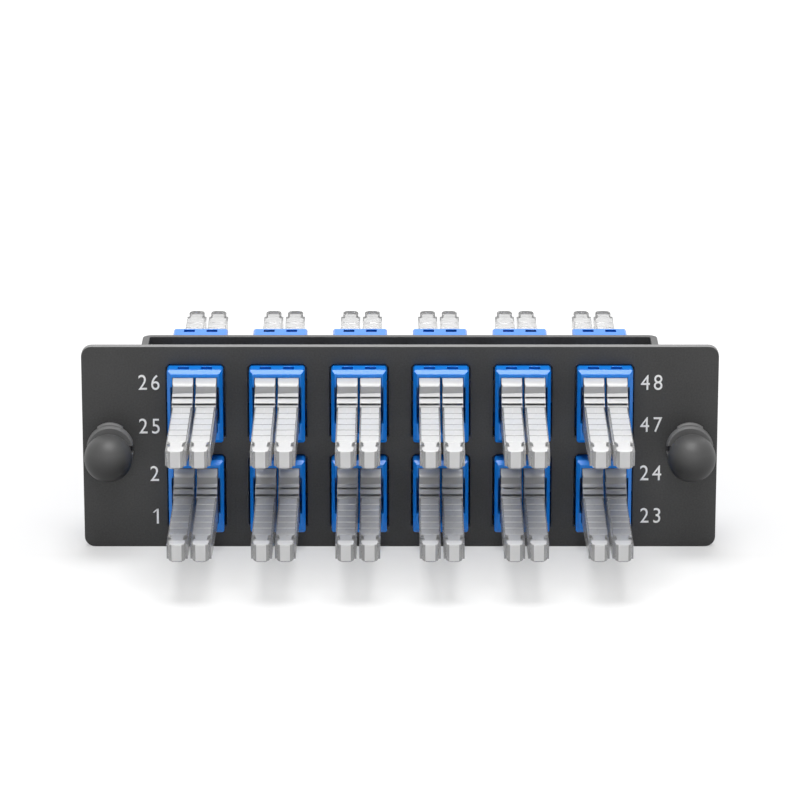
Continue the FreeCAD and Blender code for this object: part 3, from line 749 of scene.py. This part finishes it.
# %% Seat four sleeves behind each pair of ports
SLEEVE_PITCH = 3.8 * MM
for node in sorted(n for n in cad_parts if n.startswith("front_cap_")):
    port = mouth_of(node)
    port.y = ADAPTER_MIDDLE
    for level, up in (("a", SLEEVE_PITCH / 2), ("b", -SLEEVE_PITCH / 2)):
        shape = sleeve.data.copy()
        shape.transform(Matrix.Translation(port + Vector((0, 0, up))))
        piece = bpy.data.objects.new(f"sleeve_{node[-2:]}_{level}", shape)
        bpy.context.scene.collection.objects.link(piece)
        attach(piece, "panel")
bpy.data.objects.remove(sleeve)
print("Seated the sleeves")

# %% [markdown]
# ## Port numbers
# Plain white numbers are printed beside the first and last adapters. They could be painted in the plate's
# material, but text gives clean digits at any distance. Each one becomes a mesh a few hundredths of a
# millimetre thick and lies on the plate's face.

# %% Print the numbers
plate_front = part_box("front_plate")[0].y
NUMBER_HEIGHT = 2.7 * MM
INK_DEPTH = 0.03 * MM
DIGIT_WIDTH = 0.87
DIGIT_SPACING = 1.29
NUMBERS = [  # the text, its place across and up in mm, and which of its sides is put there
    ("26", -41.15, 11.65, "RIGHT"),
    ("25", -41.25, 3.82, "RIGHT"),
    ("2", -41.5, -4.72, "RIGHT"),
    ("1", -41.65, -12.46, "RIGHT"),
    ("48", 41.2, 11.65, "LEFT"),
    ("47", 41.2, 4.1, "LEFT"),
    ("24", 41.3, -4.6, "LEFT"),
    ("23", 41.47, -12.33, "LEFT"),
]
FLAG_REACH, FLAG_HEIGHT, FLAG_LIFT, FLAG_WIDTH = 0.3, 0.42, 0.16, 0.8  # shares of the bar


def add_flag(bar, low, high):
    """Joins a slanting flag to the top of a plain bar, so that it reads as a one."""
    height, width = high.y - low.y, high.x - low.x
    bpy.ops.mesh.primitive_cube_add(size=1)
    flag = bpy.context.active_object
    bpy.ops.transform.resize(value=(width * FLAG_WIDTH, height * FLAG_HEIGHT, high.z - low.z))
    bpy.ops.object.transform_apply(location=True, rotation=True, scale=True)
    select_where(flag, "vertices", lambda point: point.co.y < 0)
    in_edit(bpy.ops.transform.translate, value=(-height * FLAG_REACH, height * FLAG_LIFT, 0))
    place = ((low.x + high.x) / 2, high.y - height * FLAG_HEIGHT / 2, (low.z + high.z) / 2)
    flag.data.transform(Matrix.Translation(place))
    only(bar)
    flag.select_set(True)
    bpy.ops.object.join()


for text, x, z, side in NUMBERS:
    bpy.ops.object.select_all(action="DESELECT")
    bpy.ops.object.text_add()
    words = bpy.context.active_object
    words.data.body = text
    words.data.extrude = 0.5
    words.data.space_character = DIGIT_SPACING
    bpy.ops.object.convert(target="MESH")
    piece = bpy.context.active_object
    piece.name = f"number_{text}"
    corners = [Vector(c) for c in piece.bound_box]
    low = Vector(map(min, *corners))
    high = Vector(map(max, *corners))
    if text == "1":
        add_flag(piece, low, high)
        low.x -= (high.y - low.y) * FLAG_REACH
    size = NUMBER_HEIGHT / (high.y - low.y)
    anchor_x = high.x if side == "RIGHT" else low.x
    piece.data.transform(Matrix.Translation((-anchor_x, -(low.y + high.y) / 2, -high.z)))
    piece.data.transform(Matrix.Diagonal((size * DIGIT_WIDTH, size, INK_DEPTH / (high.z - low.z), 1)))
    piece.data.transform(Matrix.Rotation(math.pi / 2, 4, "X"))
    piece.data.transform(Matrix.Translation((x * MM, plate_front - INK_DEPTH, z * MM)))
    dress(piece, ink)
    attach(piece, "panel")
print("Printed", len(NUMBERS), "numbers")

# %% [markdown]
# ## Floor and light
# The panel stands on a white floor in soft light from above, in front and behind. The world looks white to
# the camera and lights the scene a little from all round. More lamp light could make the floor white too,
# but it would bleach the caps. So to the camera the floor gives back half its light and glows for the rest,
# a little more with each step away from the panel, and keeps a soft shadow.

# %% What the camera sees
def seen_by_eye(wire):
    """1 for rays that come straight to the eye or by way of shiny or clear surfaces, 0 after a matt one."""
    names = ("Is Camera Ray", "Is Glossy Ray", "Is Transmission Ray", "Diffuse Depth")
    eye, shine, through, scattered = (wire.node("ShaderNodeLightPath", output=name) for name in names)
    outweighs = 3
    return (eye + shine + through - scattered * outweighs).above(0.5)


print("Rays to the eye can be told from the rest")

# %% The floor
FLOOR_SHADE = 0.8
bpy.ops.object.select_all(action="DESELECT")
bpy.ops.mesh.primitive_plane_add(size=6, location=(0, 0, cad_low.z))
floor = bpy.context.active_object
floor.name = "floor"
bpy.ops.object.transform_apply(location=True, rotation=True, scale=True)
floor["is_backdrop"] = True
constants = {"Roughness": 0.9, "Specular IOR Level": 0.0, "Emission Strength": 1.0}
pale, place, shader = start_finish("floor_white", constants)
seen = seen_by_eye(place)
shade = FLOOR_SHADE + place.noise(0.6) * 0.02 - seen * (FLOOR_SHADE / 2)
feed(shader, "Base Color", shade.mix(grey(0), grey(1)))
# From metres to brightness: all round the panel, and a little more in front of it.
reach = place.node("ShaderNodeVectorMath", {"operation": "LENGTH"}, {0: place}, output="Value")
rise = {"Value": reach, "From Min": 0.05, "From Max": 0.25, "To Min": 0.42, "To Max": 0.9}
forward = place.node("ShaderNodeSeparateXYZ", None, {0: place}, output="Y") * -1
ramp = {"Value": forward, "From Min": 0.006, "From Max": 0.026, "To Min": 0.0, "To Max": 0.18}
glow = place.node("ShaderNodeMapRange", None, rise) + place.node("ShaderNodeMapRange", None, ramp)
feed(shader, "Emission Color", (seen * glow).mix(grey(0), grey(1)))
floor.data.materials.append(pale)
print("Laid the", floor.name)

# %% The world
SKY_LIGHT = 0.12
world = bpy.data.worlds.new("studio")
bpy.context.scene.world = world
world.use_nodes = True
sky = world.node_tree.nodes["Background"]
lit = SKY_LIGHT + seen_by_eye(Wire(world.node_tree, None)) * (1 - SKY_LIGHT)
world.node_tree.links.new(lit.socket, sky.inputs["Strength"])
sky.inputs["Color"].default_value = grey(1)
print("Made the world", world.name)

# %% The lamps
def soft_lamp(name, place, target, size, power):
    """A soft box that shines at a target. Sizes are in metres and the power is in watts."""
    data = bpy.data.lights.new(name, "AREA")
    data.shape = "RECTANGLE"
    data.size, data.size_y = size
    data.energy = power
    lamp = bpy.data.objects.new(name, data)
    bpy.context.scene.collection.objects.link(lamp)
    lamp.location = place
    lamp.rotation_euler = (Vector(target) - Vector(place)).to_track_quat("-Z", "Y").to_euler()


soft_lamp("top_box", (0, -0.15, 0.65), (0, -0.01, 0), (0.4, 0.36), 4.7)
soft_lamp("front_box", (0, -0.9, 0.35), (0, 0, 0), (0.8, 0.5), 1.2)
soft_lamp("back_box", (0, 0.5, 0.5), (0, 0, 0), (0.8, 0.3), 2.3)
print("Lit the scene")

# %% [markdown]
# ## Camera
# The photograph looks straight at the plate from a little above, through a long lens, so the rows stay
# almost parallel.

# %% The camera
ELEVATION = math.radians(17.6)
DISTANCE = 0.757
FOCAL_PIXELS = 4405
DROP_PIXELS = 47.3
PICTURE_PIXELS = 800
SENSOR = 36
lens = bpy.data.cameras.new("lens")
lens.sensor_width = SENSOR
lens.lens = SENSOR * FOCAL_PIXELS / PICTURE_PIXELS
camera = bpy.data.objects.new("camera", lens)
bpy.context.scene.collection.objects.link(camera)
plate_middle = Vector((0, plate_front, 0))
camera.location = plate_middle + DISTANCE * Vector((0, -math.cos(ELEVATION), math.sin(ELEVATION)))
tilt = ELEVATION - math.atan(DROP_PIXELS / FOCAL_PIXELS)
camera.rotation_euler = (math.pi / 2 - tilt, 0, 0)
bpy.context.scene.camera = camera
bpy.context.scene.view_settings.view_transform = "Standard"
print("Lens", round(lens.lens, 1), "mm")

# %% [markdown]
# ## Sizes
# Last, the box round what is shown is measured, as the box round the solids was at the start. Rounded
# copies should leave the size of the panel as it is.

# %% Sizes and finish
low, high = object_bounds()
